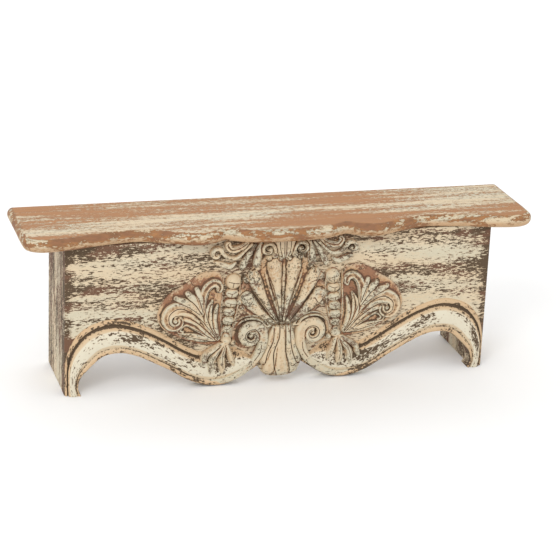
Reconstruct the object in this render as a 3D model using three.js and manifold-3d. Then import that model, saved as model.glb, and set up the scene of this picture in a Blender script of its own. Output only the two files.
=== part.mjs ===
// Wall shelf with a carved apron: a serpentine top board on a boxed frame that hangs on keyhole plates.
// Millimetres, +X to the right, +Z up. The wall is the plane y = 0 and the shelf stands out along -Y.
// The origin is the middle of the hanging rail's back face. In the body group, z = 0 is the lowest edge.
import * as THREE from 'three';
import { mergeVertices } from 'three/addons/utils/BufferGeometryUtils.js';
import Module from 'manifold-3d';

const wasm = await Module();
wasm.setup();

// ---------------------------------------------------------------- driving dimensions
const WIDTH = 711.2; // over the ends of the top board
const DEPTH = 152.4; // wall to the middle of the front edge
const HEIGHT = 228.6;
const TOP_THICK = 18;
const BULLNOSE = 7; // how far the top board's rounded edge reaches in
const APRON_FACE = 122; // wall to the front face of the apron
const APRON_THICK = 18;
const CASE_HALF = 299; // middle to the outside of an end board
const END_THICK = 16;
const RAIL_HEIGHT = 60;
const RAIL_THICK = 18;
const CLEAT = 20; // side of the square cleat and corner blocks
const BLOCK_BOTTOM = 100; // lower end of the corner blocks
const GAP = 0.3; // glue line between neighbours

const CARVING = 11; // how far the carved work stands off the apron
const MOULDING = 7; // and the arch moulding

const CASE_TOP = HEIGHT - TOP_THICK - GAP;
const RAIL_BOTTOM = CASE_TOP - RAIL_HEIGHT;
const RAIL_MIDDLE = RAIL_BOTTOM + RAIL_HEIGHT / 2;
const APRON_BACK = APRON_FACE - APRON_THICK;
const INNER_HALF = CASE_HALF - END_THICK - GAP; // half the clear width between the end boards
const CARVED_FACE = -APRON_FACE - GAP; // y of the carvings' backs

const HANGER_HALF = 203.2; // half the spacing of the two keyhole plates
const HANGER = { height: 45, width: 16, thick: 1.6, hole: 4.75, slot: 2.4, travel: 7, screwAt: 17.5 };
const POCKET = { half: 6.5, deep: 13, down: 14, up: 12 }; // room for the wall screw's head behind a plate

const DOWEL = { length: 30, radius: 4, fromEdge: 14, inRail: 20 };
const SCREW_LENGTH = { block: 32, cleat: 31, plate: 14 };
const BLOCK_SCREWS = { toApron: 125, toEnd: 160 }; // heights of the two screws in a corner block
const CLEAT_SCREWS = [-225, -75, 75, 225];

// ---------------------------------------------------------------- finishes
function finish(color, roughness, metalness = 0) {
  return new THREE.MeshStandardMaterial({ color, roughness, metalness });
}
const FINISH = {
  top: () => finish(0xc89a66, 0.75),
  painted: () => finish(0xcfcdb4, 0.8),
  carved: () => finish(0xd9c49b, 0.75),
  inner: () => finish(0xa47f5c, 0.85),
  steel: () => finish(0xb9bab8, 0.4, 1),
};

// ---------------------------------------------------------------- solids
function toSolid(geometry) {
  const bare = geometry.clone();
  bare.deleteAttribute('normal');
  bare.deleteAttribute('uv');
  const merged = mergeVertices(bare, 1e-3);
  const index = merged.index.array;
  const kept = [];
  for (let i = 0; i < index.length; i += 3) {
    const [a, b, c] = [index[i], index[i + 1], index[i + 2]];
    if (a !== b && b !== c && c !== a) kept.push(a, b, c);
  }
  const vertProperties = new Float32Array(merged.attributes.position.array);
  const mesh = new wasm.Mesh({ numProp: 3, vertProperties, triVerts: new Uint32Array(kept) });
  return new wasm.Manifold(mesh);
}

function toGeometry(solid) {
  const mesh = solid.getMesh();
  const geometry = new THREE.BufferGeometry();
  geometry.setAttribute('position', new THREE.BufferAttribute(mesh.vertProperties, 3));
  geometry.setIndex(new THREE.BufferAttribute(mesh.triVerts, 1));
  geometry.computeVertexNormals();
  return geometry;
}

function union(solids) {
  return solids.reduce((whole, piece) => whole.add(piece));
}

function largest(solid) {
  const pieces = solid.decompose();
  return pieces.reduce((best, piece) => (piece.volume() > best.volume() ? piece : best));
}

const body = new THREE.Group();
body.position.z = -RAIL_MIDDLE;

function addNode(name, solid, makeFinish) {
  const mesh = new THREE.Mesh(toGeometry(largest(solid)), makeFinish());
  mesh.name = name;
  body.add(mesh);
}

function block(x0, x1, y0, y1, z0, z1) {
  const geometry = new THREE.BoxGeometry(x1 - x0, y1 - y0, z1 - z0);
  return toSolid(geometry.translate((x0 + x1) / 2, (y0 + y1) / 2, (z0 + z1) / 2));
}

function mirrored(solid, side) {
  return side > 0 ? solid : solid.mirror([1, 0, 0]);
}

// A flat outline in the X-Z plane, grown forward from y = back by depth, with a rounded front arris.
function relief(shape, depth, back = CARVED_FACE, round = 2, arc = 4) {
  const settings = {
    depth: depth - 2 * round, curveSegments: arc,
    bevelEnabled: round > 0, bevelThickness: round, bevelSize: round, bevelOffset: -round, bevelSegments: 1,
  };
  const geometry = new THREE.ExtrudeGeometry(shape, settings);
  return toSolid(geometry.translate(0, 0, round).rotateX(Math.PI / 2).translate(0, back, 0));
}

// A turned piece: its profile of [radius, along] points, spun round a line from a point along an axis.
function turned(profile, point, axis, sides = 8) {
  const geometry = new THREE.LatheGeometry(profile.map(([r, h]) => new THREE.Vector2(r, h)), sides);
  const turn = new THREE.Quaternion().setFromUnitVectors(new THREE.Vector3(0, 1, 0), axis);
  return toSolid(geometry.applyQuaternion(turn).translate(...point));
}

function smooth(points, steps) {
  const curve = new THREE.SplineCurve(points.map(([x, z]) => new THREE.Vector2(x, z)));
  return curve.getPoints(steps);
}

function shapeOf(points) {
  const shape = new THREE.Shape();
  shape.setFromPoints(points);
  return shape;
}

// Joins a right-hand outline, listed from the middle outwards, to its mirror image.
function bothSides(right) {
  const left = right.map((p) => new THREE.Vector2(-p.x, p.y)).reverse();
  return left.concat(right.filter((p) => Math.abs(p.x) > 1e-6));
}

// ---------------------------------------------------------------- fasteners
const SCREW = { head: 4, shank: 1.9, core: 1.2, rim: 0.4, sink: 2.8, taper: 8, tip: 3 };

// Profile of a countersunk wood screw from its flat head to its point; grow makes its pilot hole.
function screwProfile(length, grow = 0) {
  const [head, shank] = [SCREW.head + grow, SCREW.shank + grow];
  const top = [[0, -grow], [head, -grow], [head, SCREW.rim], [shank, SCREW.sink + grow]];
  return [...top, [shank, length - SCREW.taper], [SCREW.core + grow, length - SCREW.tip], [0, length + grow]];
}

const AXIS = {
  front: new THREE.Vector3(0, -1, 0),
  up: new THREE.Vector3(0, 0, 1),
  out: new THREE.Vector3(1, 0, 0),
};

function screw(length, point, axis) {
  const hole = turned(screwProfile(length, GAP), point, axis);
  return { piece: turned(screwProfile(length), point, axis), hole };
}

function dowel(length, radius, point, axis) {
  const rod = (r, extra) => [[0, -extra], [r, -extra], [r, length + extra], [0, length + extra]];
  const hole = turned(rod(radius + GAP, GAP), point, axis);
  return { piece: turned(rod(radius, 0), point, axis), hole };
}

function mirroredPair({ piece, hole }, side) {
  return { piece: mirrored(piece, side), hole: mirrored(hole, side) };
}

const sides = [['left', -1], ['right', 1]];
const fasteners = []; // every hidden fastener with the finish it has, its piece and the hole round it

for (const [word, side] of sides) {
  [RAIL_BOTTOM + DOWEL.fromEdge, CASE_TOP - DOWEL.fromEdge].forEach((z, i) => {
    const start = [INNER_HALF - DOWEL.inRail, -RAIL_THICK / 2, z];
    const rod = dowel(DOWEL.length, DOWEL.radius, start, AXIS.out);
    fasteners.push({ name: `${word}_rail_dowel_${i + 1}`, look: FINISH.inner, ...mirroredPair(rod, side) });
  });
  const middle = -APRON_BACK + GAP + CLEAT / 2;
  const behind = [INNER_HALF - CLEAT / 2, middle + CLEAT / 2, BLOCK_SCREWS.toApron];
  const toApron = screw(SCREW_LENGTH.block, behind, AXIS.front);
  const toEnd = screw(SCREW_LENGTH.block, [INNER_HALF - CLEAT, middle, BLOCK_SCREWS.toEnd], AXIS.out);
  fasteners.push({ name: `${word}_block_screw_1`, look: FINISH.steel, ...mirroredPair(toApron, side) });
  fasteners.push({ name: `${word}_block_screw_2`, look: FINISH.steel, ...mirroredPair(toEnd, side) });
}

CLEAT_SCREWS.forEach((x, i) => {
  const point = [x, -APRON_BACK + GAP + CLEAT / 2, CASE_TOP - CLEAT];
  const pair = screw(SCREW_LENGTH.cleat, point, AXIS.up);
  fasteners.push({ name: `cleat_screw_${i + 1}`, look: FINISH.steel, ...pair });
});

// ---------------------------------------------------------------- keyhole plates and their pockets
function keyholeShape() {
  const hole = new THREE.Path();
  const meet = Math.asin(HANGER.slot / HANGER.hole);
  hole.absarc(0, -HANGER.travel, HANGER.hole, Math.PI / 2 + meet, Math.PI * 2.5 - meet, false);
  hole.absarc(0, HANGER.travel, HANGER.slot, 0, Math.PI, false);
  return hole;
}

function plateSolid(x) {
  const [half, tall] = [HANGER.width / 2, HANGER.height / 2];
  const outline = [[-half, -tall], [half, -tall], [half, tall], [-half, tall]];
  const shape = shapeOf(outline.map(([u, v]) => new THREE.Vector2(u, v)));
  shape.holes.push(keyholeShape());
  return relief(shape, HANGER.thick, 0, 0, 6).translate([x, 0, RAIL_MIDDLE]);
}

// The mortise that lets a plate in flush, and the deeper pocket for the wall screw's head.
function plateRecess(x) {
  const [half, tall] = [HANGER.width / 2 + GAP, HANGER.height / 2 + GAP];
  const mortise = block(x - half, x + half, -HANGER.thick - GAP, 1, RAIL_MIDDLE - tall, RAIL_MIDDLE + tall);
  const [low, high] = [RAIL_MIDDLE - POCKET.down, RAIL_MIDDLE + POCKET.up];
  const pocket = block(x - POCKET.half, x + POCKET.half, -POCKET.deep, 1, low, high);
  return mortise.add(pocket);
}

const hangers = [];
for (const [word, side] of sides) {
  const x = side * HANGER_HALF;
  const screws = [-1, 1].map((end) => {
    return screw(SCREW_LENGTH.plate, [x, 0, RAIL_MIDDLE + end * HANGER.screwAt], AXIS.front);
  });
  let plate = plateSolid(x);
  screws.forEach(({ piece, hole }, i) => {
    plate = plate.subtract(hole);
    fasteners.push({ name: `${word}_plate_screw_${i + 1}`, look: FINISH.steel, piece, hole });
  });
  hangers.push({ word, plate, recess: plateRecess(x) });
}

function drilled(solid) {
  return fasteners.reduce((left, { hole }) => left.subtract(hole), solid);
}

// ---------------------------------------------------------------- top board
// Right half of the front edge, as [from the middle, from the wall]: a lobe, a long wave and a corner.
const LOBE_EDGE = [[0, DEPTH], [30, 151.6], [58, 147], [84, 134]];
const WAVE_EDGE = [
  [84, 134], [104, 145], [130, 149], [160, 137], [198, 124], [245, 128], [290, 140], [325, 145],
];
const CORNER_EDGE = [[325, 145], [341, 142], [352, 133], [WIDTH / 2, 118]];

function topOutline() {
  const lobe = smooth(LOBE_EDGE, 6);
  const wave = smooth(WAVE_EDGE, 18);
  const corner = smooth(CORNER_EDGE, 6);
  const behind = new THREE.Vector2(WIDTH / 2, -2 * BULLNOSE);
  const right = [...lobe, ...wave.slice(1), ...corner.slice(1), behind];
  return shapeOf(bothSides(right).map((p) => new THREE.Vector2(p.x, -p.y)));
}

function topBoard() {
  const settings = {
    depth: TOP_THICK - 2 * BULLNOSE, bevelThickness: BULLNOSE, bevelSize: BULLNOSE,
    bevelOffset: -BULLNOSE, bevelSegments: 3,
  };
  const board = new THREE.ExtrudeGeometry(topOutline(), settings);
  const raised = toSolid(board.translate(0, 0, HEIGHT - TOP_THICK + BULLNOSE));
  return raised.subtract(block(-WIDTH, WIDTH, 0, DEPTH, 0, 2 * HEIGHT));
}

// ---------------------------------------------------------------- apron
// Right half of the apron's lower edge, from the foot over the arch and the lobe to the middle cusp.
const ARCH_EDGE = [
  [277, 0], [281, 12], [270, 33], [250, 52], [226, 57], [200, 50], [177, 39], [155, 27],
  [137, 15.5], [121, 7.3], [105, 2], [90.5, 0.5], [72, 3], [55, 10], [41, 20], [30.5, 27],
];
const TONGUE_EDGE = [[30.5, 27], [27, 18], [20, 10], [10, 6.5], [0, 6]];
const EDGE_STEPS = 42;

function apronShape() {
  const corner = [new THREE.Vector2(CASE_HALF, CASE_TOP), new THREE.Vector2(CASE_HALF, 0)];
  const edge = smooth(ARCH_EDGE, EDGE_STEPS);
  const tongue = smooth(TONGUE_EDGE, 6).slice(1);
  const right = [...corner, ...edge, ...tongue].reverse();
  return shapeOf(bothSides(right));
}

// ---------------------------------------------------------------- arch moulding
const MOULDING_TOP = [
  [104.5, 40], [118, 44], [131, 50], [155, 65], [177, 78.7], [200, 88], [228.6, 95.5], [258, 87],
  [280, 66], [292.6, 46],
];
const LOBE_START = 104; // where the moulding ends and the lobe's leaves begin

function archMoulding() {
  const upper = smooth(MOULDING_TOP, 22);
  const foot = [new THREE.Vector2(CASE_HALF - 2, 30), new THREE.Vector2(CASE_HALF - 2, 0)];
  const lower = smooth(ARCH_EDGE, EDGE_STEPS).filter((p) => p.x > LOBE_START);
  return relief(shapeOf([...upper, ...foot, ...lower]), MOULDING);
}

// ---------------------------------------------------------------- carved work
// A tapered finger with round ends, from one point to another; the union of several makes a leaf or a rib.
function finger([x0, z0], r0, [x1, z1], r1, depth, grow = 0) {
  const [run, rise] = [x1 - x0, z1 - z0];
  const along = Math.atan2(rise, run);
  const lean = Math.acos((r0 - r1) / Math.hypot(run, rise));
  const shape = new THREE.Shape();
  shape.absarc(x1, z1, r1 + grow, along - lean, along + lean, false);
  shape.absarc(x0, z0, r0 + grow, along + lean, along - lean + 2 * Math.PI, false);
  const round = grow > 0 ? 0 : Math.min(r0, r1, 5) * 0.6;
  return relief(shape, depth + grow, CARVED_FACE + grow, round, 3);
}

const WAIST = 84; // height where the shell and the tongue meet

function shell(grow = 0) {
  const heads = [[12, 179, 11], [43, 161, 10.5], [51, 128, 9.5]];
  const ribs = [-1, 1].flatMap((side) => heads.map(([x, z, r]) => {
    return finger([side * x * 0.08, WAIST + 3], 4, [side * x, z], r, CARVING + 2, grow);
  }));
  const webs = [-1, 1].flatMap((side) => [[28, 168, 7], [48, 144, 6]].map(([x, z, r]) => {
    return finger([0, WAIST + 3], 4, [side * x, z], r, CARVING - 3, grow);
  }));
  const below = block(-60, 60, -DEPTH, 0, 0, WAIST + GAP / 2 - grow);
  return union([...ribs, ...webs]).subtract(below);
}

function tongue() {
  const tips = [[0, 15, 9.5], [13, 20, 7.5], [22.5, 28.5, 6.5]];
  const ribs = [-1, 1].flatMap((side) => tips.map(([x, z, r]) => {
    return finger([side * x * 0.4, WAIST], 7, [side * x, z], r, CARVING + 1);
  }));
  return union(ribs).subtract(block(-60, 60, -DEPTH, 0, WAIST - GAP / 2, 150));
}

function scrollEye([x, z], radius, height) {
  const profile = [[0, 0], [radius, 0], [radius, height * 0.75], [radius * 0.86, height * 0.85],
    [radius * 0.74, height * 0.45], [radius * 0.55, height * 0.85], [radius * 0.3, height], [0, height]];
  return turned(profile, [x, CARVED_FACE, z], AXIS.front, 16);
}

const BEADS = [
  [70, 150, 11], [71.5, 133, 9.5], [73, 118, 9], [74.5, 104, 8.5], [75.5, 91, 8], [76, 80, 7],
];

function beadDrop() {
  const balls = BEADS.map(([x, z, r]) => {
    return toSolid(new THREE.SphereGeometry(r, 10, 6).translate(x, CARVED_FACE, z));
  });
  return union(balls).subtract(block(0, 100, CARVED_FACE, 0, 0, HEIGHT));
}

function acanthusSpray() {
  const root = [91, 67];
  const leaves = [
    finger(root, 5, [95, 146], 9.5, CARVING),
    finger(root, 6, [113, 128], 6, CARVING - 2),
    finger(root, 6, [128, 137], 6, CARVING - 1),
    finger(root, 6, [148, 128], 6, CARVING - 2),
    finger(root, 5.5, [151, 82], 9, CARVING - 1),
    finger(root, 5, [127, 73], 5, CARVING - 4),
    scrollEye([151, 95], 19, CARVING),
  ];
  return union(leaves);
}

function lobeLeaves() {
  const edge = smooth(ARCH_EDGE, EDGE_STEPS).filter((p) => p.x < LOBE_START - GAP && p.x > 32);
  const upper = smooth([[33, 30], [48, 40], [66, 46], [86, 45], [LOBE_START - GAP, 39.5]], 8);
  const lobe = relief(shapeOf([...edge, ...upper]), MOULDING + 1);
  const leaves = [
    finger([74, 54], 6, [84, 24], 5, CARVING),
    finger([75, 54], 6, [97, 25], 5, CARVING),
    finger([73, 54], 5, [66, 28], 4, CARVING),
  ];
  return union([lobe, ...leaves]);
}

function crest() {
  const plaque = block(-15, 15, CARVED_FACE - CARVING + 2, CARVED_FACE, 184, 206);
  const curls = [-1, 1].flatMap((side) => [
    scrollEye([side * 23, 195], 9, CARVING),
    finger([side * 31, 200], 4, [side * 35, 184], 4.5, CARVING - 2),
  ]);
  return union([plaque, ...curls]).subtract(shell(GAP));
}

function crestScroll() {
  return union([
    finger([44, 199], 4, [58, 177], 5, CARVING - 2),
    finger([44, 199], 4, [66, 186], 4, CARVING - 3),
    finger([66, 186], 4, [86, 190], 5, CARVING - 3),
    scrollEye([92, 193], 10, CARVING - 1),
  ]);
}

// ---------------------------------------------------------------- the shelf, piece by piece
addNode('top_board', drilled(topBoard()), FINISH.top);

const apronBoard = relief(apronShape(), APRON_THICK, -APRON_BACK, 0);
addNode('apron_board', drilled(apronBoard), FINISH.painted);

for (const [word, side] of sides) {
  const end = block(CASE_HALF - END_THICK, CASE_HALF, -APRON_BACK + GAP, 0, 0, CASE_TOP);
  addNode(`${word}_end_board`, drilled(mirrored(end, side)), FINISH.painted);
}

let rail = block(-INNER_HALF, INNER_HALF, -RAIL_THICK, 0, RAIL_BOTTOM, CASE_TOP);
for (const { word, plate, recess } of hangers) {
  rail = rail.subtract(recess);
  addNode(`${word}_keyhole_plate`, plate, FINISH.steel);
}
addNode('hanging_rail', drilled(rail), FINISH.inner);

const blockBack = -APRON_BACK + GAP;
const cleat = block(-INNER_HALF, INNER_HALF, blockBack, blockBack + CLEAT, CASE_TOP - CLEAT, CASE_TOP);
addNode('front_cleat', drilled(cleat), FINISH.inner);
for (const [word, side] of sides) {
  const [inner, top] = [INNER_HALF - CLEAT, CASE_TOP - CLEAT - GAP];
  const post = block(inner, INNER_HALF, blockBack, blockBack + CLEAT, BLOCK_BOTTOM, top);
  addNode(`${word}_corner_block`, drilled(mirrored(post, side)), FINISH.inner);
}

for (const [word, side] of sides) {
  addNode(`${word}_arch_moulding`, mirrored(archMoulding(), side), FINISH.carved);
  addNode(`${word}_lobe_leaves`, mirrored(lobeLeaves(), side), FINISH.carved);
  addNode(`${word}_volute`, mirrored(scrollEye([45.5, 70], 19.5, CARVING + 1), side), FINISH.carved);
  addNode(`${word}_bead_drop`, mirrored(beadDrop(), side), FINISH.carved);
  addNode(`${word}_acanthus_spray`, mirrored(acanthusSpray(), side), FINISH.carved);
  addNode(`${word}_crest_scroll`, mirrored(crestScroll(), side), FINISH.carved);
}
addNode('shell_carving', shell(), FINISH.carved);
addNode('tongue_carving', tongue(), FINISH.carved);
addNode('crest_carving', crest(), FINISH.carved);

for (const { name, look, piece } of fasteners) {
  addNode(name, piece, look);
}

const shelf = new THREE.Group();
shelf.add(body);
export default shelf;
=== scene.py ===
# %% [markdown]
# # A carved wall shelf in worn paint
#
# The shelf is a boxed frame under a wavy top board. Its front apron dips into two arches and carries a
# carved shell, volutes, strings of beads and leaf sprays. The CAD frame gives every piece its place.
# Here the pieces get what a carver and a painter give them: rounded edges, gouge cuts, and layers of
# paint rubbed back to the wood.

# %% Load the frame
import math

import bmesh
import bpy
import numpy as np
from mathutils import Matrix, Vector, noise


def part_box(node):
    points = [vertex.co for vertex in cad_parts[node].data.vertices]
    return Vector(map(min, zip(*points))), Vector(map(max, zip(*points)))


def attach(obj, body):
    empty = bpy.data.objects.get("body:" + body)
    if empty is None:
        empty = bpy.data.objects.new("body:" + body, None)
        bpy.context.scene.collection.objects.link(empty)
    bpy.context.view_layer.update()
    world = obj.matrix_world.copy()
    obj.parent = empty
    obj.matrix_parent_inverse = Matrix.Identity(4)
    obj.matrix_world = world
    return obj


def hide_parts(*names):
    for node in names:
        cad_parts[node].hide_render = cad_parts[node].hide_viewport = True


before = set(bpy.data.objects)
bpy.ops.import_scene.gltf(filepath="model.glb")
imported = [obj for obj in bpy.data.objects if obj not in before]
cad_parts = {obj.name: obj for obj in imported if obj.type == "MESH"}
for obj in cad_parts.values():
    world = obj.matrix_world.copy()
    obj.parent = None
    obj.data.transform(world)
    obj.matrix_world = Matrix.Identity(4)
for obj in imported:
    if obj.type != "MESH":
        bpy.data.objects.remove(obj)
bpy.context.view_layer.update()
MM = 0.001

# %% [markdown]
# ## The bench: where the wood is
#
# A carver works on the apron's face and thinks in millimetres: so far from the middle, so far above the
# feet, so far proud of the face. `at` turns those three numbers into a place in the frame, and all the
# boards take their edges from the CAD boxes, so nothing has to be fitted by eye.

# %% Where the boards are
apron_lo, apron_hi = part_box("apron_board")
top_lo, top_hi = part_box("top_board")
FACE = apron_lo.y
FOOT = apron_lo.z
CASE_HALF = apron_hi.x / MM
CASE_TOP = (apron_hi.z - FOOT) / MM


def at(x, z, proud=0.0):
    """A place on the apron's face, in the carver's millimetres."""
    return Vector((x * MM, FACE - proud * MM, FOOT + z * MM))


print("apron face at y =", round(FACE / MM, 1), "mm, feet at z =", round(FOOT / MM, 1), "mm")

# %% [markdown]
# ## Smooth lines through a few points
#
# A gouge cut is a smooth line. A Catmull-Rom curve passes through every point that it is given, so a leaf
# needs only the three or four places where it changes direction. Each point may carry more numbers, such
# as the width and the height of the wood there, and they flow just as smoothly.


# %% A flowing line
def flow(points, count):
    """count places on a smooth line through the points."""
    p = np.array(points, float)
    spans = len(p) - 1
    held = np.vstack([2 * p[0] - p[1], p, 2 * p[-1] - p[-2]])
    u = np.linspace(0, spans, count)
    i = np.minimum(u.astype(int), spans - 1)
    f = (u - i)[:, None]
    a, b, c, d = (held[i + k] for k in range(4))
    return 0.5 * (2 * b + (c - a) * f + (2 * a - 5 * b + 4 * c - d) * f**2 + (3 * b - a - 3 * c + d) * f**3)


def curl(middle, start, end, near, far, count=7):
    """Points on a spiral round a middle: angles in degrees, radius from near to far."""
    turn = np.radians(np.linspace(start, end, count))
    reach = np.linspace(near, far, count)
    return [(middle[0] + r * math.cos(t), middle[1] + r * math.sin(t)) for t, r in zip(turn, reach)]


def with_size(line, sizes):
    """The line's points, each with a width and a height taken from sizes spread along it."""
    spread = flow(sizes, len(line))
    return [(*point, *size) for point, size in zip(line, spread)]


# %% [markdown]
# ## Wood left standing: strokes, plates and beads
#
# Relief carving leaves wood standing above the ground. A stroke is a ribbon of such wood: it follows a
# flowing line, and its section says whether it is round like a finger, hollow like a flute or flat-topped
# like a band. A grid from `create_grid` is laid along the line and then given its thickness with
# `extrude_face_region`, so that every stroke is a closed body.

# %% Sections of a stroke
ACROSS = 12
SINK = 1.2  # how far the carved wood reaches into the apron, in millimetres


def finger(s):
    return math.sqrt(max(0.0, 1 - s * s))


def pillow(s):
    return max(0.0, 1 - s**4) ** 0.5


def flute(s):
    return max(0.0, 1 - s**8) ** 0.5 * (0.62 + 0.38 * s * s)


def band(s):
    return 0.35 + 0.65 * max(0.0, 1 - s**6) ** 0.5 * (1 - 0.12 * s * s)


def blade(s):
    return max(0.0, 1 - s**6) ** 0.5 * (1 - 0.3 * math.exp(-((s / 0.3) ** 2)))


# %% Strokes, plates and beads
def thicken(bm, faces):
    """Closes a sheet of relief with a flat back inside the apron."""
    made = bmesh.ops.extrude_face_region(bm, geom=faces, use_keep_orig=True)
    for v in made["geom"]:
        if isinstance(v, bmesh.types.BMVert):
            v.co.y = FACE + SINK * MM


def stroke(bm, stations, section=finger, blunt=(0.0, 0.0), side=1, steps=40):
    """A ribbon of standing wood through stations of (x, z, width, height)."""
    line = flow(stations, steps)
    path = line[:, :2]
    run = np.gradient(path, axis=0)
    run /= np.maximum(np.linalg.norm(run, axis=1), 1e-9)[:, None]
    gone = np.concatenate([[0], np.cumsum(np.linalg.norm(np.diff(path, axis=0), axis=1))])
    ease = np.ones(steps)
    for reach, left in zip(blunt, (gone, gone[-1] - gone)):
        if reach > 0:
            ease *= np.sqrt(1 - np.clip(1 - left / reach, 0, 1) ** 2 * 0.998)
    sheet = bmesh.ops.create_grid(bm, x_segments=steps - 1, y_segments=ACROSS, size=1)
    for v in sheet["verts"]:
        i = round((v.co.x + 1) / 2 * (steps - 1))
        s = math.sin(v.co.y * math.pi / 2)
        x, z, width, height = line[i]
        reach = width / 2 * ease[i] * s
        v.co = at(side * (x - run[i][1] * reach), z + run[i][0] * reach, height * ease[i] ** 0.6 * section(s))
    thicken(bm, list({f for v in sheet["verts"] for f in v.link_faces}))


def plate(bm, outline, height, side=1, soft=3.0):
    """A low raised ground with a sloping edge, inside an outline of (x, z) points."""
    ring = flow([*outline, outline[0]], 8 * len(outline))[:-1]
    face = bm.faces.new([bm.verts.new(at(side * x, z, 0.2)) for x, z in ring])
    bmesh.ops.inset_region(bm, faces=[face], thickness=soft * MM, use_even_offset=True)
    for v in face.verts:
        v.co.y = FACE - height * MM
    inside = {f for v in face.verts for f in v.link_faces}
    thicken(bm, list(inside))


def bead(bm, x, z, wide, tall, proud, side=1):
    """A bead or boss, half buried in the ground."""
    size = Matrix.Diagonal((wide / 2 * MM, proud * MM, tall / 2 * MM, 1))
    place = Matrix.Translation(at(side * x, z, 0)) @ size
    bmesh.ops.create_uvsphere(bm, u_segments=24, v_segments=16, radius=1, matrix=place)


# %% [markdown]
# ## Joining, softening and cutting
#
# The strokes of one carving overlap. A voxel remesh melts them into a single skin, as if they had been
# cut from one block, and a little smoothing takes away the voxels' steps. The fine cuts come last: a
# gouge line pushes the skin in along a V. What the brush can't reach stays dark, and the hollows also get
# painted shade, so the finished skin remembers how deep in a hollow each point lies. That is found by
# smoothing a copy much further: in a hollow the copy rises above the skin, and on a ridge it sinks below.


# %% Tools that work on the skin
def relax(places, edges, times):
    """The places after each has moved towards its neighbours a number of times."""
    count = len(places)
    here = places.copy()
    a, b = edges[:, 0], edges[:, 1]
    near = np.maximum(np.bincount(edges.ravel(), minlength=count), 1)
    for _ in range(times):
        for k in range(3):
            total = np.bincount(a, here[b, k], count) + np.bincount(b, here[a, k], count)
            here[:, k] += 0.5 * (total / near - here[:, k])
    return here


def distance_to(line, spots):
    """How far each spot is from a line, both flat in x and z."""
    best = np.full(len(spots), 1e9)
    for p, q in zip(line[:-1], line[1:]):
        along = q - p
        t = np.clip(((spots - p) @ along) / max(along @ along, 1e-12), 0, 1)
        best = np.minimum(best, np.linalg.norm(spots - (p + t[:, None] * along), axis=1))
    return best


def read(mesh, what, kind, width):
    data = np.empty(len(getattr(mesh, what)) * width, dtype=np.int32 if kind == "vertices" else np.float32)
    getattr(mesh, what).foreach_get(kind, data)
    return data.reshape(-1, width)


def keep(mesh, name, values):
    """Stores a number at every vertex, for the paint to read."""
    layer = mesh.attributes.new(name, "FLOAT", "POINT")
    layer.data.foreach_set("value", np.asarray(values, np.float32))


def waver(place, size, seed):
    """Unevenness of hand work, between -1 and 1."""
    return noise.fractal(place * (1 / size) + Vector((seed, 0, 0)), 1.0, 2.0, 3)


# %% Make a carving from its strokes
def carve(name, bm, nodes, cuts=(), grain=0.65, soften=3, rough=0.3, seed=0):
    """Melts the strokes of a carving into one skin, cuts its fine lines and measures its hollows."""
    bmesh.ops.recalc_face_normals(bm, faces=bm.faces)
    mesh = bpy.data.meshes.new(name)
    bm.to_mesh(mesh)
    bm.free()
    piece = bpy.data.objects.new(name, mesh)
    bpy.context.collection.objects.link(piece)
    melt = piece.modifiers.new("melt", "REMESH")
    melt.mode = "VOXEL"
    melt.voxel_size = grain * MM
    skin = bpy.data.meshes.new_from_object(piece.evaluated_get(bpy.context.evaluated_depsgraph_get()))
    piece.modifiers.clear()
    piece.data = skin
    bpy.data.meshes.remove(mesh)

    places = read(skin, "vertices", "co", 3).astype(float)
    edges = read(skin, "edges", "vertices", 2)
    places = relax(places, edges, soften)
    facing = read(skin, "vertices", "normal", 3)
    front = np.clip(-facing[:, 1] * 1.6, 0, 1)
    spots = np.column_stack([places[:, 0] / MM, (places[:, 2] - FOOT) / MM])
    cut = np.zeros(len(places))
    for points, width, depth in cuts:
        line = flow(points, 8 * len(points))
        bite = np.clip(1 - distance_to(line, spots) / (width / 2), 0, 1)
        places[:, 1] += bite * depth * MM * front
        cut = np.maximum(cut, np.clip(bite * 1.6, 0, 1))
    for i, place in enumerate(places):
        shift = waver(Vector(place), 7 * MM, seed) * rough * MM
        places[i] += facing[i] * shift
    skin.vertices.foreach_set("co", places.astype(np.float32).ravel())
    skin.update()

    facing = read(skin, "vertices", "normal", 3)
    for word, times, full in (("hollow", 8, 0.3), ("valley", 60, 1.3)):
        rise = ((relax(places, edges, times) - places) * facing).sum(axis=1) / (full * MM)
        keep(skin, word, np.clip(rise, -1, 1))
    keep(skin, "cut", cut)
    keep(skin, "proud", np.clip((FACE - places[:, 1]) / MM, 0, 20))
    skin.polygons.foreach_set("use_smooth", np.ones(len(skin.polygons), bool))
    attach(piece, "root")
    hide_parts(*nodes)
    carvings.append(piece)
    print(name, len(skin.polygons), "faces")
    return piece


carvings = []
SIDES = (("left", -1), ("right", 1))

# %% [markdown]
# ## The shell
#
# Six ribs fan out from a narrow waist, as on a scallop. The two in the middle end in round heads and the
# outer ones in broken, lumpy edges. Thin fillets fill the furrows between them, and every rib has a fine
# cut down each flank.


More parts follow.
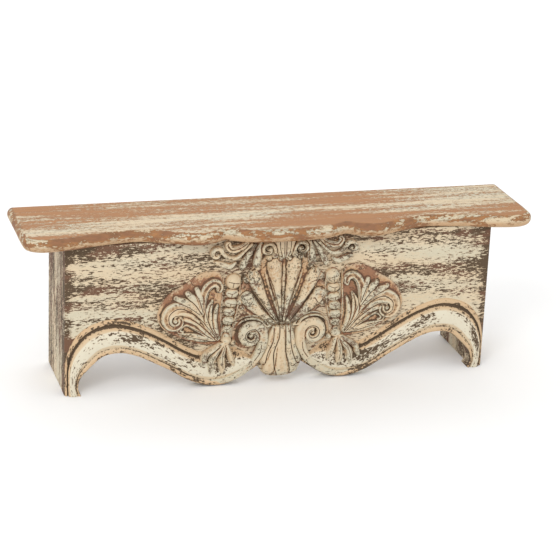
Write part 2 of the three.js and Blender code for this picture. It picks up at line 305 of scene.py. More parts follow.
# %% Carve the shell
def shell():
    bm = bmesh.new()
    cuts = []
    plate(bm, [(0, 84), (30, 92), (56, 108), (62, 130), (52, 158), (30, 180), (0, 190), (-30, 180),
               (-52, 158), (-62, 130), (-56, 108), (-30, 92)], 3.2, soft=4)
    for side in (-1, 1):
        stroke(bm, [(1.5, 84, 4, 8), (4, 104, 6.5, 9), (9, 137, 14, 10.5), (13.5, 168, 22, 12.5),
                    (14.5, 182, 21, 11)],
               finger, (1, 11), side)
        stroke(bm, [(5, 86, 4, 8), (17, 104, 7.5, 8.5), (31, 130, 14, 10), (40, 150, 19, 11.5),
                    (46, 165, 17, 9.5)],
               pillow, (1, 8), side)
        stroke(bm, [(9, 86, 4, 7), (24, 97, 9, 8), (38, 110, 15, 9.5), (50, 124, 20, 10.5), (56, 134, 18, 9)],
               pillow, (1, 8), side)
        lumps = ((52, 152, 11, 8.5), (37, 168, 9, 8), (60, 120, 11, 7), (56, 112, 9, 6.5), (6, 181, 9, 11),
                 (14, 186, 10, 12), (22, 182, 9, 11), (20, 171, 8, 13), (46, 161, 8, 11), (40, 163, 7, 11))
        for x, z, size, tall in lumps:
            bead(bm, x, z, size, size, tall, side)
        for line in ([(3, 90), (10, 112), (20, 140), (27, 164)], [(7, 90), (22, 108), (36, 128), (45, 146)],
                     [(0.2, 96), (0.3, 120), (0.5, 150), (0.3, 172)]):
            stroke(bm, with_size([(x, z) for x, z in line], [(2.2, 7), (3, 6.5), (4, 5.5), (2, 4)]),
                   finger, (1, 2), side)
        cuts += [([(side * 3, 88), (side * 7, 112), (side * 15, 140), (side * 22, 158)], 1.8, 1.6),
                 ([(side * 1.2, 96), (side * 2.2, 130), (side * 3.6, 165)], 1.6, 1.4),
                 ([(side * 9, 92), (side * 25, 112), (side * 40, 134)], 1.7, 1.6),
                 ([(side * 38, 146), (side * 46, 148), (side * 52, 145)], 1.4, 1.0),
                 ([(side * 44, 122), (side * 50, 114), (side * 56, 118)], 1.4, 1.0)]
    carve("shell", bm, ["shell_carving"], cuts, rough=0.55, seed=1)


shell()

# %% [markdown]
# ## The tongue
#
# Below the waist the ribs run on into a fluted tongue that hangs between the two lobes. Its flutes are
# one body parted by deep seams, so it is a few broad strokes with gouge cuts between them.


# %% Carve the tongue
def tongue():
    bm = bmesh.new()
    stroke(bm, [(0, 84, 8, 8.5), (-1, 66, 13, 10), (-1, 42, 17, 11.5), (1, 22, 22, 12), (1, 8, 24, 9)],
           pillow, (1, 7))
    for side in (-1, 1):
        stroke(bm, [(5, 84, 6, 8), (9, 66, 10, 9), (11, 44, 13, 10.5), (16, 24, 17, 11), (17, 12, 16, 8)],
               pillow, (1, 6), side)
        stroke(bm, [(10, 83, 5, 7), (15, 68, 8, 7.5), (18, 50, 9, 8.5), (24, 34, 11, 8.5), (27, 27, 10, 6)],
               pillow, (1, 6), side)
    cuts = [([(-3, 84), (-4, 66), (-11, 45), (-10, 26), (-5, 10)], 2.0, 2.6),
            ([(5, 84), (6, 64), (6.5, 44), (11, 26), (13, 14)], 2.0, 2.6),
            ([(-11, 80), (-12, 62), (-19, 44), (-22, 30)], 1.8, 2.2),
            ([(12, 80), (13, 60), (16, 44), (22, 28)], 1.8, 2.2)]
    carve("tongue", bm, ["tongue_carving"], cuts, seed=2)


tongue()

# %% [markdown]
# ## The volutes
#
# Beside the waist two broad bands rise from the lobes, hug the tongue and curl in on themselves. The
# band is a flat-topped stroke along a line that starts straight and ends as a spiral. A dark, sunk ring
# lies round the curl, and two thin fillets arch over it and run down into the waist.

# %% Carve the volutes
VOLUTE = (43.5, 71)


def volute(word, side):
    bm = bmesh.new()
    lip = [(103, 9), (89, 6.5), (73, 9), (58, 16), (46.5, 25)]
    rise = [(37.5, 34), (31, 46), (27, 58)]
    roll = curl(VOLUTE, 165, -300, 16.5, 4.0, 13)
    sizes = [(6, 5), (10, 8), (12, 9.5), (15, 11), (15, 12), (12, 12), (9, 12), (7, 12.5), (6, 13)]
    stroke(bm, with_size([*lip, *rise, *roll], sizes), band, (8, 3), side, steps=130)
    bead(bm, VOLUTE[0], VOLUTE[1], 8, 8, 12, side)
    for reach, width, height, start in ((24.5, 3.2, 7.5, 35), (28.5, 2.6, 6, 45)):
        arch = curl(VOLUTE, start, 150, reach, reach, 7)
        stroke(bm, with_size([*arch, (14, 86 - reach * 0.1)], [(width * 0.6, height * 0.5), (width, height),
               (width, height), (width, height)]), finger, (1, 1), side)
    shade = curl(VOLUTE, 120, -75, 21, 20.5, 9)
    stroke(bm, with_size(shade, [(3, 1.5), (10, 2), (10, 2), (3, 1.5)]), pillow, (2, 2), side)
    cuts = [([(side * x, z) for x, z in curl(VOLUTE, 165, -250, 11.5, 5.2, 12)], 1.6, 1.6),
            ([(side * x, z) for x, z in [(38, 35), (31, 46), (29, 58)]], 1.5, 0.9),
            ([(side * x, z) for x, z in shade], 12, 0.5)]
    carve(f"{word}_volute_curl", bm, [f"{word}_volute"], cuts, seed=3 + side)


for word, side in SIDES:
    volute(word, side)

# %% [markdown]
# ## The strings of beads
#
# A husk and five beads hang on each side of the shell. They are squashed spheres, notched with small
# crossing cuts and drilled here and there.


# %% Carve the bead strings
def bead_string(word, side):
    bm = bmesh.new()
    beads = [(70, 150, 22, 23, 10), (71.5, 133.5, 19, 15, 9), (73, 120, 18.5, 14, 9.5),
             (74.5, 107, 17.5, 13.5, 9), (76, 94.5, 17.5, 14, 9.5), (77, 82.5, 15, 12.5, 8.5)]
    for x, z, wide, tall, proud in beads:
        bead(bm, x, z, wide, tall, proud, side)
    cuts = []
    for i, (x, z, wide, tall, _) in enumerate(beads):
        tilt = 2.5 if i % 2 else -2
        bite = wide * 0.32
        cuts += [([(side * (x - bite), z + tilt), (side * x, z + tilt * 0.2), (side * (x + bite), z + 1)],
                  1.5, 1.1),
                 ([(side * (x + 1), z), (side * (x + 1.4), z - tall * 0.3)], 1.7, 1.3)]
    for edge in (-1, 1):
        stroke(bm, [(72 + edge * 11.5, 158, 2, 3), (73 + edge * 12, 130, 2.6, 4.5),
                    (76 + edge * 10.5, 100, 2.6, 4.5), (78 + edge * 6, 76, 2.2, 4)], finger, (2, 2), side)
    bead(bm, 78, 71, 11, 12, 6, side)
    carve(f"{word}_bead_string", bm, [f"{word}_bead_drop"], cuts, seed=5 + side)


for word, side in SIDES:
    bead_string(word, side)

# %% [markdown]
# ## The leaf sprays
#
# From one root low down beside the beads spring a tall leaf that hooks over, a great scroll that rolls
# outwards to an eye, a fan of pointed leaflets between them and a ragged frond below. They stand on a
# low raised ground whose soft edge shows as a tan outline. Fine cuts along the blades make the flutes.


# %% Carve the leaf sprays
def leaf_spray(word, side):
    bm = bmesh.new()
    plate(bm, [(86, 60), (112, 62), (140, 72), (164, 86), (174, 104), (168, 124), (156, 138), (136, 150),
               (116, 163), (100, 166), (86, 158), (84, 110)], 2.4, side, 4.5)
    hook = [(87, 66), (96, 76), (105, 90), (112, 108), (112.5, 126), (108, 142), (99, 150), (91, 148),
            (90, 141), (94, 139)]
    stroke(bm, with_size(hook, [(5, 6), (8, 8), (11, 9), (12, 10), (10, 11), (7, 11)]), flute, (2, 2),
           side, 70)
    tall = [(88, 66), (98, 80), (104, 98), (103, 114), (98, 127)]
    stroke(bm, with_size(tall, [(4, 6), (8, 8), (12, 8.5), (9, 8), (2, 6)]), blade, (2, 3), side)
    near = [(87, 68), (92, 80), (95, 96), (93, 112), (90, 121)]
    stroke(bm, with_size(near, [(4, 6), (7.5, 8), (8, 8), (6, 7), (2, 5)]), finger, (2, 2), side)
    roll = [(90, 66), (104, 80), (118, 97), (132, 111), *curl((149, 100), 100, -225, 16, 5, 11)]
    sizes = [(5, 7), (14, 8), (20, 9.5), (17, 11), (13, 12), (10, 12), (8, 12), (6, 12)]
    stroke(bm, with_size(roll, sizes), flute, (2, 3), side, 100)
    stroke(bm, [(116, 92, 8, 8), (130, 102, 14, 8.5), (143, 105, 15, 8), (151, 100, 10, 7)], blade, (3, 5),
           side)
    for tip, size in (((149, 131), 12), ((136, 140), 11.5), ((122, 146), 10)):
        root = (111 + (tip[0] - 111) * 0.12, 104)
        bend = ((root[0] + tip[0]) / 2 - 1, (root[1] + tip[1]) / 2 + 4)
        stroke(bm, with_size([root, bend, tip], [(4, 7), (size, 8), (size * 0.6, 7.5)]), pillow, (2, 3), side)
    bead(bm, 149, 131, 8, 8, 8, side)
    small = [(92, 66), (108, 78), (122, 88), (134, 95), (143, 90), (144, 83), (137, 81)]
    stroke(bm, with_size(small, [(4, 6), (8, 7), (9, 8), (7, 8), (5, 7.5)]), flute, (2, 2), side, 60)
    for tip in ((150, 79), (138, 73), (126, 69)):
        stroke(bm, with_size([(95, 67), ((95 + tip[0]) / 2, (67 + tip[1]) / 2 + 2), tip],
                             [(3, 5), (8, 6), (3, 4)]),
               blade, (2, 3), side)
    bead(bm, 150, 99, 8, 8, 10, side)

    def cut(points, width=1.4, depth=1.3):
        return [(side * x, z) for x, z in points], width, depth

    cuts = [cut([(90, 68), (104, 86), (116, 100), (132, 112), (146, 116), (158, 108), (158, 96), (152, 91)]),
            cut([(94, 70), (110, 86), (124, 98), (140, 106), (150, 106)]),
            cut([(90, 70), (101, 88), (108, 108), (108, 128), (103, 142), (96, 145)], 1.4, 1.5),
            cut([(89, 70), (97, 86), (99, 104), (98, 120)], 1.4, 1.5),
            cut([(113, 106), (124, 122), (134, 130)], 1.8, 1.6),
            cut([(112, 110), (118, 128), (124, 138)], 1.6, 1.6),
            cut([(116, 106), (132, 118), (144, 124)], 1.4, 1.3),
            cut([(97, 69), (114, 80), (132, 90)], 1.3, 1.3),
            cut([(99, 66), (118, 71), (140, 77)], 1.5, 1.2)]
    carve(f"{word}_leaf_spray", bm, [f"{word}_acanthus_spray"], cuts, seed=7 + side)


for word, side in SIDES:
    leaf_spray(word, side)

# %% [markdown]
# ## The crest
#
# Over the shell sit a small fluted plaque, a curl on each side of it and two petals beyond each curl.
# Ribbons run outwards from them under the top board and end in curls of their own.


# %% Carve the crest
def crest():
    bm = bmesh.new()
    cuts = []
    stroke(bm, [(0, 206, 30, 8), (0, 196, 27, 9), (0, 186, 20, 8.5), (0, 179, 8, 7)], band, (1, 4))
    for side in (-1, 1):
        roll = [(16, 180), (13.5, 190), *curl((24, 194), 150, -230, 9, 3, 10)]
        stroke(bm, with_size(roll, [(4, 8), (5, 9.5), (5.5, 10), (5, 10), (4, 10.5)]), band, (2, 2), side, 70)
        bead(bm, 24, 194, 5, 5, 10, side)
        stroke(bm, [(35, 204, 3, 6), (37, 192, 8, 9), (39, 178, 10.5, 10), (40, 168, 8, 8)], pillow,
               (2, 5), side)
        stroke(bm, [(40, 203, 3, 5), (49, 190, 7, 8), (57, 175, 9.5, 9), (61, 166, 7, 7)], pillow, (2, 5),
               side)
        stroke(bm, [(33, 206, 3, 5), (33, 188, 3, 7), (34, 172, 2.5, 6)], finger, (1, 1), side)
        cuts += [([(side * 8, 206), (side * 7, 194), (side * 4, 183)], 1.5, 1.4),
                 ([(side * x, z) for x, z in curl((24, 194), 150, -150, 7, 3.5, 9)], 1.3, 1.2)]
    cuts += [([(1.4, 206), (1.2, 190), (0.6, 180)], 1.8, 1.8),
             ([(-1.6, 206), (-1.4, 192), (-0.8, 182)], 1.4, 1.4)]
    carve("crest", bm, ["crest_carving"], cuts, seed=10)


def crest_ribbon(word, side):
    bm = bmesh.new()
    ribbon = [(44, 204), (55, 194), (67, 184), (80, 186), (88, 194), *curl((95, 191), 150, -170, 8.5, 3, 8)]
    stroke(bm, with_size(ribbon, [(4, 5), (5, 7), (6, 8), (6, 8.5), (5, 9), (4, 9)]), band, (2, 2), side, 80)
    stroke(bm, with_size([(50, 206), (62, 198), (74, 196), (80, 203), (76, 207)],
                         [(6, 5), (10, 7), (9, 8), (5, 7)]),
           blade, (2, 2), side, 50)
    stroke(bm, [(66, 178, 3, 4), (76, 172, 8, 6), (88, 176, 8, 6), (98, 180, 4, 5)], pillow, (3, 3), side)
    bead(bm, 95, 191, 5, 5, 9, side)
    cuts = [([(side * x, z) for x, z in [(52, 199), (64, 189), (78, 189), (87, 198)]], 1.3, 1.1),
            ([(side * x, z) for x, z in [(56, 204), (66, 199), (75, 200)]], 1.3, 1.1)]
    carve(f"{word}_crest_ribbon", bm, [f"{word}_crest_scroll"], cuts, seed=11 + side)


crest()
for word, side in SIDES:
    crest_ribbon(word, side)

# %% [markdown]
# ## The leaves on the lobes
#
# A spray of pointed fingers falls from below the beads over each lobe.


# %% Carve the lobe leaves
def lobe_spray(word, side):
    bm = bmesh.new()
    for tip, bend, size in (((83, 16), (84, 42), 12), ((101, 18), (96, 43), 12.5), ((66, 27), (73, 46), 10),
                            ((114, 29), (105, 48), 9.5)):
        line = [(79, 66), bend, ((bend[0] + tip[0]) / 2, (bend[1] + tip[1]) / 2), tip]
        stroke(bm, with_size(line, [(5, 9), (size * 0.9, 12.5), (size, 12), (2.5, 8)]), finger, (3, 3), side)
    bead(bm, 78, 66, 16, 13, 10.5, side)
    bead(bm, 68, 62, 9, 8, 8, side)
    cuts = [([(side * x, z) for x, z in line], 1.4, 1.2) for line in
            ([(80, 60), (84, 44), (83, 28)], [(83, 58), (96, 43), (100, 29)])]
    carve(f"{word}_lobe_spray", bm, [f"{word}_lobe_leaves"], cuts, seed=13 + side)


for word, side in SIDES:
    lobe_spray(word, side)

# %% [markdown]
# ## The arch mouldings
#
# One moulding runs up from each foot, over the arch and round the lobe to the cusp beside the tongue. Its
# section changes little: a bead, a deep groove, a broad convex band and a lip at the edge. It is drawn
# between two rails, one outside and one along the apron's lower edge, given as pairs of points that face
# each other across it. A grid laid between the rails takes the section's height.

# %% Rails and section of the moulding
RAILS = [((298.3, 0), (277, 0)), ((298.3, 20), (280.8, 10)), ((298, 46), (278, 24)), ((291, 72), (268, 36)),
         ((274, 93), (251, 51.5)), ((250, 103.5), (237, 56.5)), ((228, 105), (222, 57)),
         ((204, 98.5), (209, 54)), ((180, 88), (195, 48.5)), ((156, 74), (175, 38)),
         ((135, 60.5), (154, 26.5)), ((117, 52), (131, 12)),
         ((103, 50), (110, 3.5)), ((90, 52), (92, 0.5)), ((77, 54), (74, 2.5)), ((66, 54), (58, 9)),
         ((56, 50), (44, 18)), ((44, 40), (31, 27))]
SECTION = [(0, 0.2), (0.05, 1.4), (0.10, 2.3), (0.145, 1.8), (0.165, 0.5), (0.19, 0.3), (0.215, 1.2),
           (0.24, 4.2), (0.30, 5.6), (0.42, 7.0), (0.55, 7.3), (0.68, 6.6), (0.78, 5.4), (0.815, 4.3),
           (0.835, 4.2), (0.86, 5.6), (0.90, 6.5), (0.95, 6.2), (0.985, 4.2), (1.0, 2.2)]
STATIONS = 230
lower_edge = flow([pair[1] for pair in RAILS], STATIONS)
print("moulding drawn with", STATIONS, "stations and", len(SECTION), "points across")


# %% Run the mouldings
def arch_moulding(word, side):
    bm = bmesh.new()
    along = bm.verts.layers.float.new("along")
    over = bm.verts.layers.float.new("over")
    outer = flow([pair[0] for pair in RAILS], STATIONS)
    reach = [s for s, _ in SECTION]
    sheet = bmesh.ops.create_grid(bm, x_segments=STATIONS - 1, y_segments=len(SECTION) - 1, size=1)
    for v in sheet["verts"]:
        i = round((v.co.x + 1) / 2 * (STATIONS - 1))
        k = round((v.co.y + 1) / 2 * (len(SECTION) - 1))
        v[along], v[over] = i / (STATIONS - 1), reach[k]
        x, z = outer[i] + (lower_edge[i] - outer[i]) * reach[k]
        on_lobe = min(1, max(0, (118 - outer[i][0]) / 16))
        height = SECTION[k][1]
        if reach[k] < 0.24:
            height *= 1 - on_lobe
        height += waver(at(x, z), 9 * MM, 20 + side) * 0.35 * min(1, height)
        v.co = at(side * x, z, max(0.05, height))
    thicken(bm, list(bm.faces))
    bmesh.ops.recalc_face_normals(bm, faces=bm.faces)
    for f in bm.faces:
        f.smooth = True
    mesh = bpy.data.meshes.new(f"{word}_moulding")
    bm.to_mesh(mesh)
    bm.free()
    piece = bpy.data.objects.new(mesh.name, mesh)
    bpy.context.collection.objects.link(piece)
    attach(piece, "root")
    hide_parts(f"{word}_arch_moulding")
    print(piece.name, len(mesh.polygons), "faces")
    return piece


mouldings = [arch_moulding(word, side) for word, side in SIDES]

# %% [markdown]
# ## The boards
#
# The apron is sawn to the moulding's lower rail, so the same points make its outline. The end boards are
# plain. Every board gets a small bevel, because no sawn and sanded edge is sharp.


# %% Saw the apron and the end boards
def finish_board(name, bm, nodes):
    bmesh.ops.recalc_face_normals(bm, faces=bm.faces)
    mesh = bpy.data.meshes.new(name)
    bm.to_mesh(mesh)
    bm.free()
    piece = bpy.data.objects.new(name, mesh)
    bpy.context.collection.objects.link(piece)
    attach(piece, "root")
    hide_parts(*nodes)
    print(name, len(mesh.polygons), "faces")
    return piece


def apron():
    bm = bmesh.new()
    tongue_edge = flow([(31, 27), (27, 17), (20, 10), (10, 7), (0, 6.5)], 16)
    half = [(CASE_HALF, CASE_TOP), (CASE_HALF, 0), *lower_edge[::3], *tongue_edge]
    outline = [*half, *[(-x, z) for x, z in half[-2::-1]]]
    face = bm.faces.new([bm.verts.new(at(x, z)) for x, z in outline])
    made = bmesh.ops.extrude_face_region(bm, geom=[face])
    thick = [v for v in made["geom"] if isinstance(v, bmesh.types.BMVert)]
    bmesh.ops.translate(bm, verts=thick, vec=(0, apron_hi.y - apron_lo.y, 0))
    rims = [e for e in bm.edges if abs(e.verts[0].co.y - e.verts[1].co.y) < 1e-6]
    bmesh.ops.bevel(bm, geom=rims, offset=0.8 * MM, segments=2, profile=0.5, affect="EDGES", material=-1)
    return finish_board("apron", bm, ["apron_board"])


def end_board(word):
    lo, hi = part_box(f"{word}_end_board")
    bm = bmesh.new()
    size = Matrix.Diagonal((*(hi - lo), 1))
    bmesh.ops.create_cube(bm, size=1, matrix=Matrix.Translation((lo + hi) / 2) @ size)
    bmesh.ops.bevel(bm, geom=list(bm.edges), offset=1.2 * MM, segments=3, profile=0.5, affect="EDGES",
                    material=-1)
    return finish_board(f"{word}_end", bm, [f"{word}_end_board"])


apron_piece = apron()
ends = [end_board(word) for word, _ in SIDES]

# %% [markdown]
# ## The top board
#
# Its front edge is a row of waves: a wide one in the middle, two small pointed lobes, then long hollows
# that swell again towards rounded corners. The edge is a bullnose all round, except at the wall. The
# outline is drawn once, and a half round is wrapped along it from the top face to the underside.

# %% Shape the top board
FRONT = [[(0, 152.4), (30, 151.6), (58, 147), (84, 134)],
         [(84, 134), (104, 145), (130, 149), (160, 137), (198, 124), (245, 128), (290, 140), (325, 145),
          (341, 142), (352, 133), (355.6, 118), (355.6, 60), (355.6, 0)]]
NOSE = 7.5  # depth of the bullnose, in millimetres
TURNS = 12


def top_board():
    bm = bmesh.new()
    rim = bm.verts.layers.float.new("rim")
    half = np.vstack([flow(FRONT[0], 28)[:-1], flow(FRONT[1], 130)])
    half[:, 1] = np.clip(half[:, 1], 0, None)
    outline = np.vstack([half[::-1] * (-1, 1), half[1:]])
    count = len(outline)
    run = np.gradient(outline, axis=0)
    run /= np.linalg.norm(run, axis=1)[:, None]
    run[[0, -1]] = (0, 1), (0, -1)
    sheet = bmesh.ops.create_grid(bm, x_segments=count - 1, y_segments=TURNS, size=1)
    thick = (top_hi.z - top_lo.z) / MM
    rings = [[None] * count for _ in range(TURNS + 1)]
    for v in sheet["verts"]:
        i = round((v.co.x + 1) / 2 * (count - 1))
        k = round((v.co.y + 1) / 2 * TURNS)
        turn = math.pi * k / TURNS
        inset = NOSE * (1 - math.sin(turn))
        x, out = outline[i] - np.array((-run[i][1], run[i][0])) * inset
        v[rim] = math.sin(turn) ** 0.5
        v.co = Vector((x * MM, -max(0, out) * MM, top_lo.z + thick / 2 * MM * (1 + math.cos(turn))))
        v.co.y += waver(v.co, 14 * MM, 30) * 0.5 * MM * math.sin(turn) * (out > 5)
        rings[k][i] = v
    bm.faces.new(rings[0])
    bm.faces.new(rings[-1])
    bm.faces.new([ring[0] for ring in rings] + [ring[-1] for ring in reversed(rings)])
    for f in bm.faces:
        f.smooth = len(f.verts) == 4
    return finish_board("top", bm, ["top_board"])


top_piece = top_board()

# %% [markdown]
# ## Paint in Python
#
# Worn paint is sums: streaks plus specks, less what is protected. It reads best as arithmetic, so `Tone`
# wraps a socket that carries a number, and adding or multiplying two of them adds the Math node.
# `Finish` starts a material and has one method for every other node.


# %% Numbers that change over a surface
class Tone:
    def __init__(self, finish, socket):
        self.finish = finish
        self.socket = socket

    def _math(self, operation, a, b):
        return self.finish.node("ShaderNodeMath", {"operation": operation}, {0: a, 1: b})

    def __add__(self, other):
        return self._math("ADD", self, other)

    def __sub__(self, other):
        return self._math("SUBTRACT", self, other)

    def __rsub__(self, other):
        return self._math("SUBTRACT", other, self)

    def __mul__(self, other):
        return self._math("MULTIPLY", self, other)

    __radd__ = __add__
    __rmul__ = __mul__

    def at_least(self, other):
        return self._math("MAXIMUM", self, other)

    def step(self, low, high):
        """0 below low, 1 above high, and smooth between."""
        settings = {"interpolation_type": "SMOOTHSTEP", "clamp": True}
        return self.finish.node("ShaderNodeMapRange", settings, {0: self, 1: low, 2: high, 3: 0.0, 4: 1.0})


class Finish:
    def __init__(self, name):
        self.material = bpy.data.materials.new(name)
        self.material.use_nodes = True
        self.tree = self.material.node_tree
        self.surface = next(n for n in self.tree.nodes if n.type == "BSDF_PRINCIPLED")
        self.place = self.node("ShaderNodeTexCoord", {}, {}, "Object")

    def node(self, kind, settings, inputs, output=0):
        n = self.tree.nodes.new(kind)
        for word, value in settings.items():
            setattr(n, word, value)
        for key, value in inputs.items():
            if isinstance(value, Tone):
                self.tree.links.new(value.socket, n.inputs[key])
            else:
                n.inputs[key].default_value = value
        return Tone(self, n.outputs[output])

    def stretched(self, scale, shift=(0, 0, 0)):
        return self.node("ShaderNodeMapping", {}, {"Vector": self.place, "Scale": scale, "Location": shift})

    def noise(self, scale, detail=3.0, rough=0.55, bend=0.0, shift=(0, 0, 0)):
        """Noise whose grains are 1 / scale metres long each way."""
        inputs = {"Vector": self.stretched(scale, shift), "Scale": 1.0, "Detail": detail, "Roughness": rough,
                  "Distortion": bend}
        return self.node("ShaderNodeTexNoise", {}, inputs)

    def attribute(self, name):
        return self.node("ShaderNodeAttribute", {"attribute_name": name}, {}, "Fac")

    def part(self, axis, size=False):
        """One coordinate of the place, or its size without the sign."""
        one = self.node("ShaderNodeSeparateXYZ", {}, {0: self.place}, axis)
        return self.node("ShaderNodeMath", {"operation": "ABSOLUTE"}, {0: one}) if size else one

    def blend(self, share, first, second):
        """mix for numbers."""
        return self.node("ShaderNodeMix", {"data_type": "FLOAT"}, {0: share, 2: first, 3: second})

    def mix(self, share, first, second):
        """The first colour where share is 0 and the second where it is 1."""
        return self.node("ShaderNodeMix", {"data_type": "RGBA"}, {0: share, 6: first, 7: second}, 2)

    def bump(self, height, distance, under=None):
        inputs = {"Strength": 1.0, "Distance": distance, "Height": height}
        if under is not None:
            inputs["Normal"] = under
        return self.node("ShaderNodeBump", {}, inputs)

    def use(self, **sockets):
        for word, value in sockets.items():
            socket = self.surface.inputs[word.replace("_", " ")]
            if isinstance(value, Tone):
                self.tree.links.new(value.socket, socket)
            else:
                socket.default_value = value


def tint(red, green, blue):
    """A colour as a paint chart gives it, 0 to 255, made linear for the shader."""
    line = [c / 255 / 12.92 if c <= 10 else ((c / 255 + 0.055) / 1.055) ** 2.4 for c in (red, green, blue)]
    return (*line, 1.0)


CREAM = tint(208, 188, 156)
PALE_GREEN = tint(200, 191, 166)
# The pale light tone is the moulding crown's paint, lightened as a painted highlight.
PALE_PAINT_AND_HIGHLIGHT = tint(217, 209, 187)
SAND = tint(202, 166, 124)
TAN = tint(180, 132, 86)
# The umber tone is used only for painted shade.
PAINTED_SHADE_UMBER = tint(134, 99, 64)
TERRACOTTA = tint(143, 97, 68)
DARK_BROWN = tint(86, 68, 48)
RED_BROWN = tint(108, 77, 57)
BARE_WOOD = tint(172, 119, 68)

# %% [markdown]
# ## Worn paint on the boards
#
# The boards were stained dark, painted cream and pale green, and then rubbed along the grain. So the dark
# shows as countless small flecks, crowded together into long streaks. A fine noise gives the flecks. Two
# slower ones, stretched along the grain, lower the height that a fleck must reach to show. Corners are
# rubbed more, so the distance from an edge lowers it too.


# %% Board paint
def board_paint(name, grain, wear, seed, corner):
    """grain is 'X' or 'Z', the way the rubbing went; corner gives the extra wear near the board's edges."""
    m = Finish(name)

    def lay(long, short, **more):
        scale = (long, short, short) if grain == "X" else (short, short, long)
        return m.noise(scale, shift=(seed, seed * 2, seed * 3), **more)

    slow = lay(5, 17, detail=1.0)
    streak = lay(9, 80, detail=3.0, rough=0.55, bend=0.2)
    fleck = lay(135, 520, detail=3.0, rough=0.75)
    speck = lay(420, 640, detail=2.0, rough=0.6)
    worn = (fleck - 0.5) * 2.3 + (speck - 0.5) * 0.7 + (streak - 0.5) * 1.6 + (slow - 0.5) * 1.2
    worn = worn + (wear + 0.03) + corner(m)
    gone = worn.step(0.11, 0.19)
    fringe = worn.step(-0.15, 0.15)
    green = (lay(6, 36, detail=2.0) + (fleck - 0.5) * 0.9).step(0.36, 0.60)
    paint = m.mix(green, CREAM, PALE_GREEN)
    paint = m.mix(fringe * 0.45, paint, SAND)
    paint = m.mix((speck + streak - 1.0).step(-0.2, 0.25) * 0.25, paint, tint(232, 222, 198))
    stain = m.mix(lay(16, 50, detail=2.0).step(0.47, 0.56), DARK_BROWN, RED_BROWN)
    height = (1 - gone) * 0.7 + fleck * 0.25 + lay(40, 420, detail=2.0) * 0.3
    m.use(Base_Color=m.mix(gone, paint, stain), Roughness=0.62 + gone * 0.2, Normal=m.bump(height, 0.0005))
    return m.material


def apron_corners(m):
    """The apron's ends are knocked, and a dark line lies under the top board."""
    ends = m.part(0, size=True).step((CASE_HALF - 16) * MM, CASE_HALF * MM)
    under_top = m.part(2).step(apron_hi.z - 0.020, apron_hi.z - 0.006)
    return ends * 0.36 + under_top * 0.12


def end_corners(m):
    """The end boards are darkest along their front corner."""
    return (1 - m.part(1).step(FACE + 0.018, FACE + 0.034)) * 0.02 - m.part(1).step(-0.05, 0.0) * 0.08


apron_piece.data.materials.append(board_paint("apron_paint", "X", 0.0, 3.1, apron_corners))
for piece in ends:
    piece.data.materials.append(board_paint(f"{piece.name}_paint", "Z", 0.06, 5.7, end_corners))

# %% [markdown]
# ## Paint on the carving
#
# On the carving the stain stayed in the cuts and hollows and the rubbing reached only the ridges. The tan
# glaze in the hollows is partly painted shade, and the umber laid over it is painted shade. So the stored
# numbers for hollow, valley and cut steer the colours, and noise keeps their edges from looking ruled.
# Low ground that the brush hardly reached is bare terracotta-coloured primer.


# %% Carving paint
def carving_paint(name, seed, rub):
    """rub is how much the ridges were rubbed: above 0 more of the stain shows through."""
    m = Finish(name)
    shift = (seed, seed * 2, seed * 3)
    hollow = m.attribute("hollow")
    valley = m.attribute("valley")
    cut = m.attribute("cut")
    proud = m.attribute("proud")
    ragged = m.noise((380, 380, 380), detail=4.0, rough=0.75, shift=shift)
    patch = m.noise((48, 48, 48), detail=3.0, rough=0.6, shift=shift)
    slow = m.noise((18, 18, 18), detail=2.0, shift=shift)
    drag = m.noise((90, 300, 190), detail=3.0, rough=0.65, shift=shift)
    deep = hollow * 0.8 + valley * 1.05 + (ragged - 0.5) * 1.4 + (patch - 0.5) * 0.6 + cut * 0.5
    deep = deep.step(0.31, 0.56)
    # Tan glaze gathers in the hollows, and its soft darkening there is also painted shade.
    glaze_and_painted_shade = (hollow * 0.5 + valley * 0.9 + (patch - 0.5) * 1.1).step(-0.35, 0.42)
    # shade is painted shade: umber darkening into hollows, valleys and cuts.
    shade = (hollow * 0.9 + valley * 0.8 + cut * 0.5 + (ragged - 0.5) * 0.5).step(-0.05, 0.40)
    chips = (drag + (ragged - 0.5) * 1.5 + (slow - 0.5) * 0.7 - valley * 0.15 + rub).step(0.66, 0.71)
    low = 1 - proud.step(2.8, 4.8)
    primer = low * (slow + (patch - 0.5) * 1.1 + (ragged - 0.5) * 0.6).step(0.52, 0.58)
    paint = m.mix((slow + (patch - 0.5) * 0.6 - valley * 0.2).step(0.48, 0.64), CREAM, PALE_GREEN)
    paint = m.mix(glaze_and_painted_shade * 0.85, paint, m.mix(patch.step(0.35, 0.65), SAND, TAN))
    paint = m.mix(shade * 0.6, paint, PAINTED_SHADE_UMBER)
    paint = m.mix(low * 0.45, paint, TAN)
    paint = m.mix(primer * 0.9, paint, TERRACOTTA)
    stain = m.mix(patch.step(0.45, 0.6), DARK_BROWN, RED_BROWN)
    dark = deep.at_least(chips * 0.9)
    height = (1 - dark) * 0.6 + ragged * 0.5
    m.use(Base_Color=m.mix(dark, paint, stain), Roughness=0.6 + dark * 0.2, Normal=m.bump(height, 0.0003))
    return m.material


